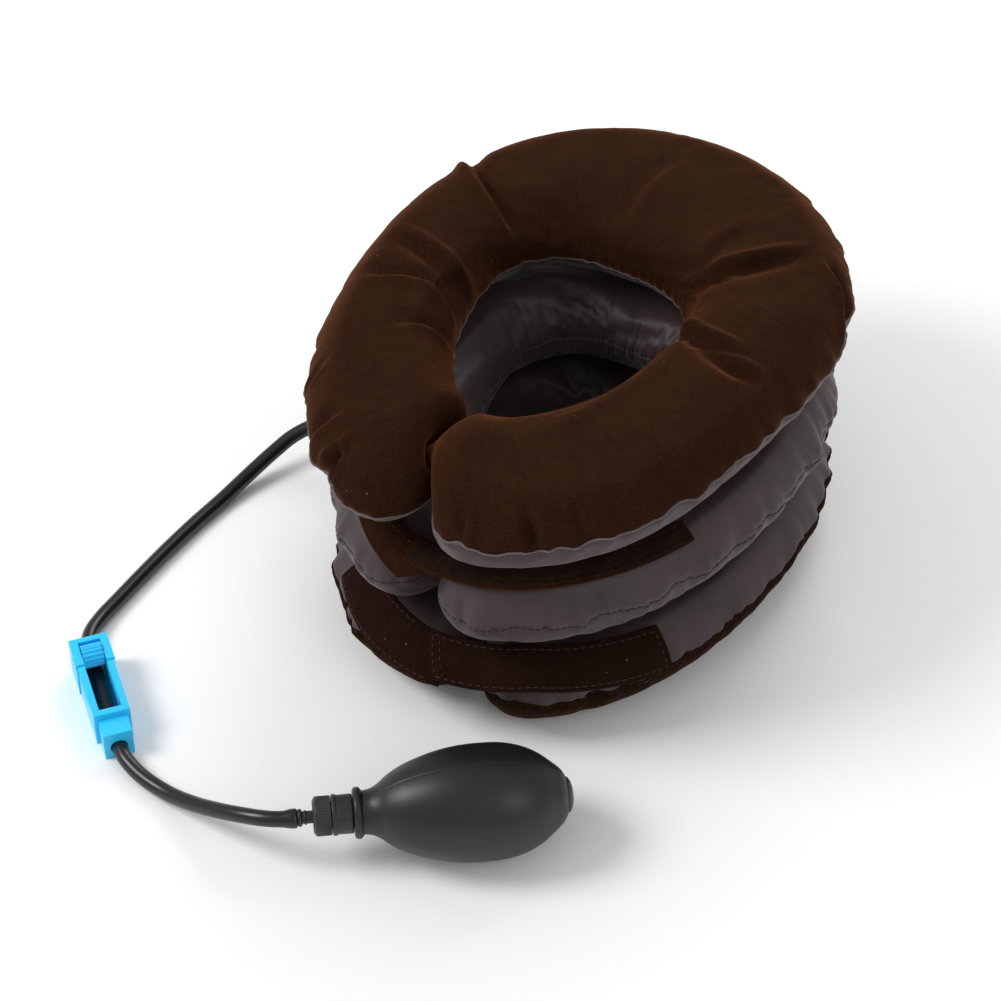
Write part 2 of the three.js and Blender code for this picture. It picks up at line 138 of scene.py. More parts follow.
def setup(node, **values):
    """Feeds a node's sockets, named with _ for each space, and sets its other properties."""
    for key, value in values.items():
        name = key.replace("_", " ")
        if name in node.inputs:
            feed(node.inputs[name], value)
        else:
            setattr(node, key, value)
    return node


def add(tree, kind, **values):
    return setup(tree.nodes.new("ShaderNode" + kind), **values)


def new_material(name, color, roughness, metallic=0.0):
    made = bpy.data.materials.new(name)
    made.use_nodes = True
    shader = made.node_tree.nodes["Principled BSDF"]
    setup(shader, Base_Color=(*color, 1), Roughness=roughness, Metallic=metallic)
    return made, made.node_tree, shader


def place_of(tree, mapped, stretch=(1, 1, 1)):
    """Surface coordinates in metres: the UV map of a cloth piece, or the object's own space."""
    source = add(tree, "TexCoord").outputs["UV" if mapped else "Object"]
    return add(tree, "Mapping", Scale=stretch, Vector=source).outputs["Vector"]


def noise(tree, place, scale, detail=3, roughness=0.6, distortion=0):
    node = add(tree, "TexNoise", Scale=scale, Detail=detail, Roughness=roughness, Distortion=distortion)
    return setup(node, Vector=place).outputs["Fac"]


def ramp(tree, value, low, first, high, second):
    """Turns a pattern into a blend of two colours, between two of its values."""
    node = add(tree, "ValToRGB", Fac=value)
    for element, position, color in zip(node.color_ramp.elements, (low, high), (first, second)):
        element.position = position
        element.color = (*color, 1)
    return node.outputs["Color"]


def mix(tree, amount, first, second, kind="MIX"):
    node = add(tree, "Mix", data_type="RGBA", blend_type=kind)
    feed(node.inputs[0], amount)
    for socket, value in zip([s for s in node.inputs if s.type == "RGBA"], (first, second)):
        feed(socket, (*value, 1) if isinstance(value, tuple) else value)
    return [s for s in node.outputs if s.type == "RGBA"][0]


def bump(tree, shader, layers):
    """Chains bump nodes: layers are (height, strength, distance in metres)."""
    below = None
    for height, strength, distance in layers:
        node = add(tree, "Bump", Strength=strength, Distance=distance, Height=height)
        if below:
            feed(node.inputs["Normal"], below)
        below = node.outputs["Normal"]
    feed(shader.inputs["Normal"], below)


def vary_gloss(tree, shader, pattern, low, high):
    """Roughness between low and high, following a pattern."""
    setup(shader, Roughness=add(tree, "MapRange", Value=pattern, To_Min=low, To_Max=high).outputs["Result"])


def math_node(tree, operation, *operands):
    node = add(tree, "Math", operation=operation)
    for socket, value in zip(node.inputs, operands):
        feed(socket, value)
    return node.outputs[0]


def lint_specks(tree, place):
    """1 on a few small scattered dots, 0 elsewhere."""
    lint = add(tree, "TexVoronoi", Scale=95, Randomness=1, Vector=place).outputs
    chosen = add(tree, "SeparateColor", Color=lint["Color"]).outputs["Red"]
    speck = math_node(tree, "LESS_THAN", lint["Distance"], 0.035)
    return math_node(tree, "MULTIPLY", speck, math_node(tree, "GREATER_THAN", chosen, 0.86))


def velvet(name, dark, light, sheen_tint, sheen):
    """Flocked pile: patches where the nap lies another way, fine speckle, and a few lint specks."""
    made, tree, shader = new_material(name, dark, 0.92)
    place = place_of(tree, True)
    patches = noise(tree, place, 22, 4, 0.55, 0.6)
    brushed = noise(tree, place_of(tree, True, (1, 0.4, 1)), 210, 5, 0.72)
    pile = noise(tree, place, 900, 3, 0.75)
    base = ramp(tree, patches, 0.32, dark, 0.72, light)
    base = mix(tree, 0.55, base, ramp(tree, brushed, 0.35, dark, 0.75, light))
    base = mix(tree, 0.5, base, ramp(tree, pile, 0.34, (0.3, 0.3, 0.3), 0.66, (1.8, 1.65, 1.5)), "MULTIPLY")
    base = mix(tree, lint_specks(tree, place), base, (0.22, 0.15, 0.11))
    setup(shader, Base_Color=base, Specular_IOR_Level=0.05, Sheen_Weight=sheen, Sheen_Roughness=0.33)
    setup(shader, Sheen_Tint=(*sheen_tint, 1))
    bump(tree, shader, [(brushed, 0.4, 0.0006), (pile, 0.6, 0.0004)])
    return made


def satin(name, dark, light, mapped=True):
    """Fine filament cloth: silky streaks along the thread, a fine weave and a soft gloss."""
    made, tree, shader = new_material(name, dark, 0.46)
    place = place_of(tree, mapped)
    streaks = noise(tree, place_of(tree, mapped, (1, 0.12, 1)), 420, 4, 0.6)
    clouds = noise(tree, place, 30, 3, 0.5, 0.4)
    weave = [
        add(tree, "TexWave", Scale=330, Distortion=0.6, bands_direction=axis, Vector=place).outputs["Fac"]
        for axis in ("X", "Y")
    ]
    base = ramp(tree, clouds, 0.3, dark, 0.7, light)
    base = mix(tree, 0.4, base, ramp(tree, streaks, 0.3, dark, 0.75, light))
    vary_gloss(tree, shader, streaks, 0.43, 0.61)
    setup(shader, Base_Color=base, Specular_IOR_Level=0.36, Sheen_Weight=0.22, Sheen_Roughness=0.35)
    setup(shader, Sheen_Tint=(0.8, 0.68, 0.73, 1))
    bump(tree, shader, [(weave[0], 0.16, 0.0001), (weave[1], 0.16, 0.0001), (streaks, 0.2, 0.0002)])
    return made


def moulded(name, color, roughness, mark=0.12, grain=900, dust=None, subsurface=0.0):
    """Moulded plastic or rubber: uneven gloss, faint flow clouds and fine grain."""
    made, tree, shader = new_material(name, color, roughness)
    place = place_of(tree, False)
    clouds = noise(tree, place, 60, 4, 0.55)
    fine = noise(tree, place, grain, 3, 0.6)
    paler = tuple(min(1.0, c * (1 + 3 * mark)) for c in color)
    base = ramp(tree, clouds, 0.3, color, 0.75, paler)
    if dust:
        specks = ramp(tree, noise(tree, place, 2600, 1, 0.5), 0.7, (0, 0, 0), 0.78, (1, 1, 1))
        base = mix(tree, specks, base, dust)
    vary_gloss(tree, shader, clouds, max(0.05, roughness - mark), min(1.0, roughness + mark))
    setup(shader, Base_Color=base, Subsurface_Weight=subsurface, Subsurface_Scale=0.002)
    bump(tree, shader, [(clouds, 0.12, 0.0004), (fine, 0.18, 0.00008)])
    return made


def turned_metal(name, color, roughness):
    made, tree, shader = new_material(name, color, roughness, 1.0)
    scratches = noise(tree, place_of(tree, False, (1, 1, 12)), 900, 3, 0.7)
    setup(shader, Base_Color=ramp(tree, scratches, 0.3, color, 0.8, tuple(c * 0.75 for c in color)))
    bump(tree, shader, [(scratches, 0.2, 0.00005)])
    return made


MATERIALS = {
    "velvet": velvet(
        "flocked_velvet", (0.016, 0.006, 0.0026), (0.033, 0.0122, 0.005), (0.62, 0.2, 0.055), 0.4,
    ),
    # The lower tier's bottom panel uses the same flocked velvet with a darker base, which is painted shade on
    # the rim next to the floor, and with less sheen.
    "rim": velvet("shaded_under_velvet", (0.011, 0.0043, 0.0021), (0.023, 0.0086, 0.0038), (0.5, 0.18, 0.06), 0.12),
    "strap": velvet("strap_velvet", (0.012, 0.0046, 0.003), (0.021, 0.0084, 0.0055), (0.4, 0.17, 0.1), 0.16),
    "satin": satin("grey_satin", (0.037, 0.0238, 0.0252), (0.06, 0.039, 0.0415)),
    # The seam lip's satin is the grey satin made about twice as pale: a painted highlight along the raised
    # seam edge.
    "lip_highlight_satin": satin("seam_lip_highlight_satin", (0.07, 0.055, 0.057), (0.12, 0.095, 0.1), mapped=False),
    "tape": satin("seam_tape_satin", (0.05, 0.038, 0.04), (0.075, 0.058, 0.06), mapped=False),
    "thread": moulded("black_thread", (0.006, 0.0045, 0.0045), 0.8),
    "pale_thread": moulded("brown_thread", (0.042, 0.02, 0.0105), 0.85),
    "hook": velvet("hook_pile", (0.007, 0.0035, 0.0028), (0.032, 0.016, 0.011), (0.3, 0.18, 0.12), 0.12),
    "film": moulded("welded_film", (0.6, 0.57, 0.5), 0.3),
    "hose": moulded("hose_rubber", (0.006, 0.006, 0.0063), 0.3, 0.06),
    "bulb": moulded("bulb_rubber", (0.0068, 0.0068, 0.007), 0.42, 0.05, 1400, dust=(0.03, 0.03, 0.03)),
    "valve": moulded("valve_plastic", (0.014, 0.014, 0.0145), 0.42, 0.08),
    "blue": moulded("clamp_plastic", (0.026, 0.56, 0.98), 0.3, 0.03, subsurface=0.2),
    "seal": moulded("seal_rubber", (0.03, 0.028, 0.026), 0.5),
    "steel": turned_metal("steel", (0.62, 0.62, 0.64), 0.28),
}


# ---------------------------------------------------------------- mesh helpers
def make_object(name, points, faces, material, uv=None):
    mesh = bpy.data.meshes.new(name)
    mesh.from_pydata((np.asarray(points) * MM).tolist(), [], faces)
    mesh.materials.append(MATERIALS[material])
    mesh.polygons.foreach_set("use_smooth", [True] * len(mesh.polygons))
    if uv is not None:
        layer = mesh.uv_layers.new(name="cloth")
        corner = np.empty(len(mesh.loops), int)
        mesh.loops.foreach_get("vertex_index", corner)
        layer.data.foreach_set("uv", (np.asarray(uv)[corner] * MM).ravel())
    obj = bpy.data.objects.new(name, mesh)
    scene.collection.objects.link(obj)
    return obj


def grid_faces(rows, columns, wrap=False):
    """The faces of a grid of points. wrap joins its last column to its first."""
    faces = []
    for i in range(rows - 1):
        for j in range(columns if wrap else columns - 1):
            here, below = i * columns, (i + 1) * columns
            k = (j + 1) % columns
            faces.append((here + j, below + j, below + k, here + k))
    return faces


def end_caps(rows, columns):
    """One face over each end of a wrapped grid."""
    last = (rows - 1) * columns
    return [tuple(range(columns)), tuple(last + j for j in reversed(range(columns)))]


def grid_normals(points):
    across = np.gradient(points, axis=1)
    along = np.gradient(points, axis=0)
    normal = np.cross(along, across)
    return normal / np.maximum(np.linalg.norm(normal, axis=-1, keepdims=True), 1e-9)


def arc_lengths(points):
    """How far along a line each of its points is."""
    return np.concatenate([[0], np.cumsum(np.linalg.norm(np.diff(points, axis=0), axis=1))])


def at_distance(values, lengths, distance):
    return np.array([np.interp(distance, lengths, values[:, axis]) for axis in range(3)])


def spline(points, count):
    """Points evenly spaced along a smooth curve through the given ones."""
    points = np.asarray(points, float)
    knots = arc_lengths(points)
    tangent = np.gradient(points, knots, axis=0)
    fine = np.linspace(0, knots[-1], 12 * len(points))
    k = np.clip(np.searchsorted(knots, fine, side="right") - 1, 0, len(points) - 2)
    h = (knots[k + 1] - knots[k])[:, None]
    u = ((fine - knots[k])[:, None]) / h
    curve = (
        (2 * u**3 - 3 * u**2 + 1) * points[k] + (u**3 - 2 * u**2 + u) * h * tangent[k]
        + (-2 * u**3 + 3 * u**2) * points[k + 1] + (u**3 - u**2) * h * tangent[k + 1]
    )
    lengths = arc_lengths(curve)
    even = np.linspace(0, lengths[-1], count)
    return np.stack([np.interp(even, lengths, curve[:, axis]) for axis in range(points.shape[1])], 1)


def sweep(name, path, rings, sides, material, ridge=None):
    """A surface of rings round a path. rings are (distance along the path, radius)."""
    path = np.asarray(path, float)
    lengths = arc_lengths(path)
    tangent = np.gradient(path, axis=0)
    tangent /= np.linalg.norm(tangent, axis=1, keepdims=True)
    side = np.cross(tangent, [0, 0, 1])
    side /= np.linalg.norm(side, axis=1, keepdims=True)
    up = np.cross(side, tangent)
    angles = np.asarray(sides) if np.ndim(sides) else np.arange(sides) * 2 * math.pi / sides
    points = []
    for distance, radius in rings:
        spot, right, above = (at_distance(v, lengths, distance) for v in (path, side, up))
        local = radius + (ridge(distance, angles) if ridge else 0)
        points.append(
            spot + np.outer(np.cos(angles) * local, right) + np.outer(np.sin(angles) * local, above)
        )
    size = len(rings), len(angles)
    faces = grid_faces(*size, wrap=True) + end_caps(*size)
    return make_object(name, np.concatenate(points), faces, material)


def rounded(profile, fillet, steps=4):
    """Replaces the corners of an open profile by small arcs."""
    profile = [np.array(p, float) for p in profile]
    made = [profile[0]]
    for before, corner, after in zip(profile, profile[1:], profile[2:]):
        back, on = before - corner, after - corner
        lengths = np.linalg.norm(back), np.linalg.norm(on)
        reach = min(fillet, 0.45 * lengths[0], 0.45 * lengths[1])
        start, end = corner + back / lengths[0] * reach, corner + on / lengths[1] * reach
        for u in np.linspace(0, 1, steps):
            made.append((1 - u) ** 2 * start + 2 * u * (1 - u) * corner + u**2 * end)
    return made + [profile[-1]]


def pump_path():
    return np.linspace(PUMP_NECK - PUMP_AXIS * PUMP_BEHIND, PUMP_NECK + PUMP_AXIS * PUMP_AHEAD, 5)


def turned(name, profile, material, sides=64, fillet=0.3, ridge=None):
    """A lathed piece on the pump's axis. profile holds (radius, height from the bulb's neck)."""
    rings = [(h + PUMP_BEHIND, r) for r, h in rounded(profile, fillet)]
    return sweep(name, pump_path(), rings, sides, material, ridge)


def add_bevel(obj, width):
    bevel = obj.modifiers.new("edge", "BEVEL")
    bevel.width, bevel.segments, bevel.limit_method = width * MM, 2, "ANGLE"
    bevel.angle_limit = radians(35)
    bevel.harden_normals = True


# ---------------------------------------------------------------- hose, made first
def make_hose():
    path = spline(HOSE_ROUTE, 260)
    length = float(arc_lengths(path)[-1])
    body = [(s, HOSE_RADIUS) for s in np.linspace(0.4, length - 8, 236)]
    # The end swells where it is pushed over the stem's barb. Places are counted back from the end.
    swelling = [
        (6, 3.55), (4.5, 3.8), (3, 4.1), (1.4, 4.25), (0.5, 4.2), (0.1, 3.95), (0, 3.6), (0.2, 3.0),
        (2.2, 2.85),
    ]
    end = [(length - back, radius) for back, radius in swelling]
    start = [(2.5, 2.4), (0, 2.4), (0, 3.2)]
    hose = sweep("hose_tube", path, start + body + end, 20, "hose")
    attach(hose, "base")
    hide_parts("hose")


make_camera()
make_stage()
make_hose()


# ---------------------------------------------------------------- shape of a tier
def ring_frame(tier, t):
    """Centre, outward direction and half width of a tier's tube at each angle t."""
    t = np.asarray(t, float)
    sin, cos = np.sin(t), np.cos(t)
    lean = RING["lean"] * (1 + sin) / 2
    at_nape = cos > 0
    reach = np.where(at_nape, RING["nape"], RING["chin"])
    flare = np.where(at_nape, TUBE["nape"], TUBE["chin"]) - TUBE["side"]
    centre = np.stack([
        (RING["half_width"] + lean) * sin * tier["span_x"] + tier["shift"], reach * cos * tier["span_y"],
    ], -1)
    along_x = (RING["lean"] / 2 * cos * sin + (RING["half_width"] + lean) * cos) * tier["span_x"]
    along_y = -reach * sin * tier["span_y"]
    outward = np.stack([-along_y, along_x], -1) / np.hypot(along_x, along_y)[..., None]
    return centre, outward, (TUBE["side"] + flare * cos**2 + lean) * tier["width"]


def tier_surface(tier, t, phi, offset=0.0, scale=1.0):
    """Points on a tier's section, moved out by offset along the surface's normal."""
    centre, outward, half_width = ring_frame(tier, t)
    across_normal, up_normal = np.cos(phi) / half_width, np.sin(phi) / HALF_HEIGHT
    size = np.hypot(across_normal, up_normal)
    across = half_width * np.cos(phi) * scale + across_normal / size * offset
    up = HALF_HEIGHT * np.sin(phi) * scale + up_normal / size * offset
    xy = centre + outward * across[..., None]
    return np.concatenate([xy, (tier["z"] + up)[..., None]], -1)


def stations():
    """Angles along the ring, and the section's size at each: rounded off at both arm ends."""
    tip = math.pi - ARM_END["gap"] / 2 / RING["half_width"]
    shoulder = math.pi - ARM_END["length"] / RING["half_width"]
    share = np.array([0.0015, 0.012, 0.035, 0.075, 0.13, 0.2, 0.29, 0.39, 0.5, 0.62, 0.74, 0.87])
    end_t = tip + (shoulder - tip) * share
    blunt = ARM_END["bluntness"]
    end_scale = (1 - (1 - share) ** blunt) ** (1 / blunt)
    middle = np.linspace(-shoulder, shoulder, 150)
    t = np.concatenate([-end_t, middle, end_t[::-1]])
    scale = np.concatenate([end_scale, np.ones(len(middle)), end_scale[::-1]])
    return t, scale


STATION_T, STATION_SCALE = stations()
ARC = 26  # cells over each panel, from one seam to the other
SHRUNK = 1.6  # how much smaller the tube starts than it is when blown up, in mm
# Height of each outer seam on the section: angles t, and phi at each, in degrees.
SEAM = {
    "lower": ([-180, 180], [6, 6]), "middle": ([-180, 180], [3, 3]),
    "top": ([-180, -150, -95, -55, 0, 50, 85, 120, 150, 180], [-10, -13, -4, 3, 3, -2, -3, 4, 6, 5]),
}
# How far the arms' closure is turned round, and how much more so at the opening, in degrees.
CLOSURE_TURN = {"lower": -6, "middle": 4.5, "top": 2}
CLOSURE_SKEW = {"lower": 0, "middle": 0, "top": 15}
# Where the outside is drawn in: middle and reach in degrees of t, and depth in mm.
SLIM = {"lower": (-179, 17, 7), "middle": (-179, 17, 0), "top": (108, 27, 6.5)}
HOLE_SHIFT = {"lower": 0, "middle": 0, "top": -3.5}  # how far the opening lies to one side, in mm
INNER_SEAM = {"lower": 0, "middle": 0, "top": 17}  # how far the inner seam lies below the equator, in degrees


def wander(rng, s, shortest, longest, size, terms=7):
    """A smooth random line: a few sines whose lengths lie between the two given."""
    total = np.zeros_like(s)
    for _ in range(terms):
        wave = rng.uniform(shortest, longest)
        total += np.sin(2 * math.pi * s / wave + rng.uniform(0, 2 * math.pi)) * rng.uniform(0.4, 1)
    return total * size / math.sqrt(terms)


def tier_angles(name, t, phi):
    """Angles t, turned near the closure so that one arm reaches further round, most at its inside."""
    share = np.clip((abs(t) - radians(120)) / radians(55), 0, 1)
    turn = CLOSURE_TURN[name] + CLOSURE_SKEW[name] * (0.5 - 0.5 * np.cos(phi))
    return t + np.radians(turn) * share**2 * (3 - 2 * share)


def tier_grid(name, rng):
    """The tier's tube before it is blown up, as stations x section points, with wavy seams."""
    tier = TIERS[name]
    seam = np.radians(np.interp(np.degrees(STATION_T), *SEAM[name]))
    share = np.linspace(0, 1, ARC, endpoint=False)
    inner = math.pi + radians(INNER_SEAM[name])
    upper = seam[:, None] + (inner - seam)[:, None] * share
    phi = np.concatenate([upper, inner + (2 * math.pi + seam - inner)[:, None] * share], 1)
    t = tier_angles(name, STATION_T[:, None], phi)
    around = t[:, 0]
    grid = tier_surface(tier, t, phi, -SHRUNK, STATION_SCALE[:, None])
    grid[..., 0] += HOLE_SHIFT[name] * (0.5 - 0.5 * np.cos(phi)) ** 1.5
    centre, reach, depth = SLIM[name]
    slim = depth * np.exp(-(((np.degrees(t) - centre) / reach) ** 2)) * (0.5 + 0.5 * np.cos(phi)) ** 0.7
    grid[..., :2] -= ring_frame(tier, t)[1] * slim[..., None]
    outer = tier_surface(tier, around, seam)
    s = arc_lengths(outer)
    outward = ring_frame(tier, around)[1]
    for at, strength in ((0, 1.0), (ARC, 0.35)):
        near = np.abs((np.arange(2 * ARC) - at + ARC) % (2 * ARC) - ARC) * math.pi / ARC
        fade = np.exp(-((near / 0.3) ** 2))[None, :]
        flat = STATION_SCALE * strength
        push = (wander(rng, s, 14, 46, 1.3) + 1.4) * flat * (1 if at == 0 else -1)
        lift = wander(rng, s, 16, 55, 1.4) * flat
        grid[..., :2] += outward[:, None, :] * (push[:, None] * fade)[..., None]
        grid[..., 2] += lift[:, None] * fade
    return grid, phi, s


SIM_FRAMES = 22
STIFF_ENDS = 4  # stations at each arm end that the simulation leaves alone


def cloth_mesh(name, grid):
    """A closed mesh for the simulation: pinned at its seams, and with extra cloth next to them."""
    rows, columns = grid.shape[:2]
    points = np.concatenate([grid.reshape(-1, 3), grid[0].mean(0)[None], grid[-1].mean(0)[None]])
    faces = grid_faces(rows, columns, wrap=True)
    first, last = rows * columns, rows * columns + 1
    for j in range(columns):
        k = (j + 1) % columns
        faces.append((first, j, k))
        faces.append((last, (rows - 1) * columns + k, (rows - 1) * columns + j))
    obj = make_object(name + "_cloth", points, faces, "satin")
    pin = obj.vertex_groups.new(name="pin")
    extra = obj.vertex_groups.new(name="gather")
    for j in range(columns):
        ring = [i * columns + j for i in range(rows)]
        from_outer = min(j, columns - j)
        from_inner = abs(j - ARC)
        inner_share = 0.1 if name == "top" and j < ARC else 0.45
        gather = math.exp(-from_outer / 3.5) + inner_share * math.exp(-from_inner / 3.5)
        extra.add(ring, min(1, gather), "REPLACE")
        if from_outer == 0 or from_inner == 0:
            pin.add(ring, 1.0, "REPLACE")
    ends = [*range(STIFF_ENDS * columns), *range((rows - STIFF_ENDS) * columns, rows * columns + 2)]
    pin.add(ends, 1.0, "REPLACE")
    cloth = obj.modifiers.new("Cloth", "CLOTH")
    settings = cloth.settings
    settings.quality = 6
    settings.mass = 0.25
    settings.tension_stiffness = settings.compression_stiffness = 18
    settings.shear_stiffness = 7
    settings.bending_stiffness = 0.8
    settings.air_damping = 3
    settings.vertex_group_mass = "pin"
    settings.vertex_group_shrink = "gather"
    settings.shrink_min, settings.shrink_max = 0.0, -0.12
    settings.use_pressure = True
    settings.uniform_pressure_force = 5
    settings.effector_weights.gravity = 0
    cloth.point_cache.frame_start, cloth.point_cache.frame_end = 1, SIM_FRAMES
    return obj


REFINE = 3  # how many cells of the finished cloth lie over one cell of the simulated cloth
SIM_CAP = 4.5  # furthest that a wrinkle may move the cloth, in mm
WHOLE_MOVE_KEPT = 0.15  # share of the cloth's move as a whole that stays
TOP_WRINKLES = 0.55  # share of the wrinkles that the thick velvet shows


def local_mean(values, rows=14, columns=5):
    """Mean over a patch of stations x section points: how the cloth moved as a whole."""
    total = np.zeros_like(values)
    padded = np.concatenate([values[rows:0:-1], values, values[-2:-rows - 2:-1]])
    for i in range(2 * rows + 1):
        total += padded[i:i + len(values)]
    total /= 2 * rows + 1
    return sum(np.roll(total, j, axis=1) for j in range(-columns, columns + 1)) / (2 * columns + 1)


def blow_up(grids):
    """Simulates the three tiers together, and gives their grids back."""
    made = {name: cloth_mesh(name, grids[name][0]) for name in grids}
    for step in range(1, SIM_FRAMES + 1):
        scene.frame_set(step)
    depsgraph = bpy.context.evaluated_depsgraph_get()
    result = {}
    for name, obj in made.items():
        grid = grids[name][0]
        evaluated = obj.evaluated_get(depsgraph)
        points = np.empty(len(evaluated.data.vertices) * 3, np.float32)
        evaluated.data.vertices.foreach_get("co", points)
        moved = points.reshape(-1, 3)[: grid.shape[0] * grid.shape[1]].reshape(grid.shape) / MM
        step = moved - grid
        step -= (1 - WHOLE_MOVE_KEPT) * local_mean(step)
        size = np.linalg.norm(step, axis=-1, keepdims=True)
        step *= SIM_CAP * np.tanh(size / SIM_CAP) / np.maximum(size, 1e-6)
        if name == "top":
            step[:, :ARC] *= TOP_WRINKLES
        result[name] = grid + step
        bpy.data.objects.remove(obj)
    scene.frame_set(1)
    return result


rng = np.random.default_rng(11)
plain = {name: tier_grid(name, rng) for name in TIERS}
blown = blow_up(plain)


def refine(grid):
    """Cubic interpolation of a grid along both of its directions."""
    for axis in (0, 1):
        grid = np.moveaxis(grid, axis, 0)
        count = len(grid)
        fine = np.linspace(0, count - 1, (count - 1) * REFINE + 1)
        k = np.clip(fine.astype(int), 0, count - 2)
        u = (fine - k).reshape(-1, *[1] * (grid.ndim - 1))
        slope = np.gradient(grid, axis=0)
        grid = (
            (2 * u**3 - 3 * u**2 + 1) * grid[k] + (u**3 - 2 * u**2 + u) * slope[k]
            + (-2 * u**3 + 3 * u**2) * grid[k + 1] + (u**3 - u**2) * slope[k + 1]
        )
        grid = np.moveaxis(grid, 0, axis)
    return grid


def soft_limit(value, start, room):
    """value, but bending over from start so that it never passes start + room."""
    over = np.maximum(value - start, 0)
    return np.where(value > start, start + room * np.tanh(over / room), value)


def crease(points, normals, tier, line, depth, width, ridge, side):
    """How far points move along their normals for one fold, whose crest follows line [(t, phi)]."""
    line = np.radians(np.array(line, float))
    turn = tier_surface(tier, line[:, 0], line[:, 1])
    turn = spline(turn, 28) if len(turn) > 2 else np.linspace(turn[0], turn[-1], 28)
    flat = points.reshape(-1, 3)
    moved = np.zeros(len(flat))
    reach = 5 * width
    low, high = turn.min(0) - reach, turn.max(0) + reach
    near = np.where(((flat > low) & (flat < high)).all(1))[0]
    if len(near) == 0:
        return moved.reshape(points.shape[:2])
    gap = flat[near][:, None, :] - turn[None]
    distance = np.linalg.norm(gap, axis=-1)
    closest = distance.argmin(1)
    tangent = np.gradient(turn, axis=0)
    tangent /= np.linalg.norm(tangent, axis=1, keepdims=True)
    away = gap[np.arange(len(near)), closest]
    sideways = np.cross(normals.reshape(-1, 3)[near], tangent[closest])
    signed = (away * sideways).sum(1) * side
    past = np.abs((away * tangent[closest]).sum(1))
    along = closest / (len(turn) - 1)
    taper = np.sin(np.pi * np.clip(0.08 + 0.84 * along, 0, 1)) ** 0.7 * np.exp(-((past / width) ** 2))
    steep = np.where(signed < 1.2 * width, 0.65 * width, 1.6 * width)
    valley = -np.exp(-(((signed - 1.2 * width) / steep) ** 2))
    crest = ridge * np.exp(-((signed / (0.85 * width)) ** 2))
    moved[near] = depth * taper * (valley + crest)
    return moved.reshape(points.shape[:2])


# Folds in the top cover: the crest line as (t, phi) in degrees, depth and width in mm, height of
# the crest as a share of the depth, and the side that the valley lies on.
VELVET_FOLDS = [
    ([(-60, 20), (-66, 70), (-71, 105), (-74, 139)], 4.6, 4.2, 0.5, 1),
    ([(-94, 70), (-97, 106), (-99, 128), (-99, 152)], 3.6, 4.0, 0.5, -1),
    ([(-110, 66), (-109, 99), (-110, 121), (-112, 150)], 3.8, 4.0, 0.5, 1),
    ([(-125, 104), (-123.5, 127), (-123, 150)], 2.2, 3.0, 0.5, 1),
    ([(54, 152), (52.5, 108), (50.5, 70)], 4.0, 4.2, 0.5, -1),
    ([(50, 148), (39, 121), (34, 95)], 1.8, 4.6, 0.4, -1),
    ([(90, 165), (95, 122), (96, 92)], 4.4, 3.4, 0.5, -1),
    ([(98, 116), (99.5, 88), (100, 66)], 3.8, 3.4, 0.5, -1),
    ([(-3, 135), (-2, 100), (1, 80)], 1.4, 4.6, 0.4, 1),
    ([(58, 50), (66, 30), (69.5, 16)], 3.2, 3.2, 0.6, 1),
    ([(62, 44), (70, 26), (75, 12)], 2.4, 3.0, 0.5, 1),
    ([(-149, 4), (-150, 24), (-151, 44)], 2.4, 3.0, 0.5, 1),
    ([(-154, 2), (-155.5, 22), (-157, 42)], 3.0, 3.0, 0.6, -1),
    ([(-161, -2), (-160, 18), (-158, 38)], 2.8, 2.8, 0.6, 1),
    ([(170, 8), (170, 26), (170, 48)], 2.2, 2.6, 0.5, 1),
    ([(160.5, 8), (161, 24), (161.5, 46)], 2.2, 2.6, 0.5, -1),
    ([(156, 8), (157, 20), (157.5, 36)], 2.0, 2.4, 0.5, 1),
    ([(151, 8), (151.5, 24), (152, 40)], 1.6, 2.4, 0.5, -1),
    ([(-30, 155), (-31, 130), (-33, 108)], 1.2, 4.0, 0.4, 1),
    ([(140, 10), (141, 30), (141, 48)], 1.2, 3.0, 0.4, 1),
    ([(-136, 4), (-136, 22), (-135, 40)], 1.4, 2.8, 0.4, 1),
]


FOLD_DEPTH = 1.35


def seam_gathers(rng, length, spacing):
    """Where the cloth is gathered along a seam: place, depth and width of each small valley."""
    found = []
    place = 0.0
    while place < length:
        place += rng.uniform(0.5, 1.6) * spacing
        found.append((place, rng.uniform(0.25, 1) ** 1.4, rng.uniform(1.3, 3.2)))
    return found


def puckers(rng, s, distance, gathers, size, softness):
    """Small valleys that run from a seam into the cloth, as a move along the normal."""
    total = np.zeros(distance.shape)
    for place, depth, width in gathers:
        reach = rng.uniform(4, 17) * softness
        bent = s[:, None] - place - rng.uniform(-0.4, 0.4) * distance
        spread = width * (1 + distance / 30)
        total -= depth * size * np.exp(-((bent / spread) ** 2) - distance / reach)
    return total


def patch_mask(t, phi, edges, soft=4.0):
    """1 where a band lies on the tube, fading to 0 round it."""
    td, pd = np.degrees(t) % 360, np.degrees(phi)
    low = np.interp(td, edges[:, 0], edges[:, 1])
    high = np.interp(td, edges[:, 0], edges[:, 2])
    inside_t = 1 / (1 + np.exp(-(td - edges[0, 0]) / 1.2)) / (1 + np.exp((td - edges[-1, 0]) / 1.2))
    inside_phi = 1 / (1 + np.exp(-(pd - low + soft) / 1.6)) / (1 + np.exp((pd - high - soft) / 1.6))
    return inside_t * inside_phi


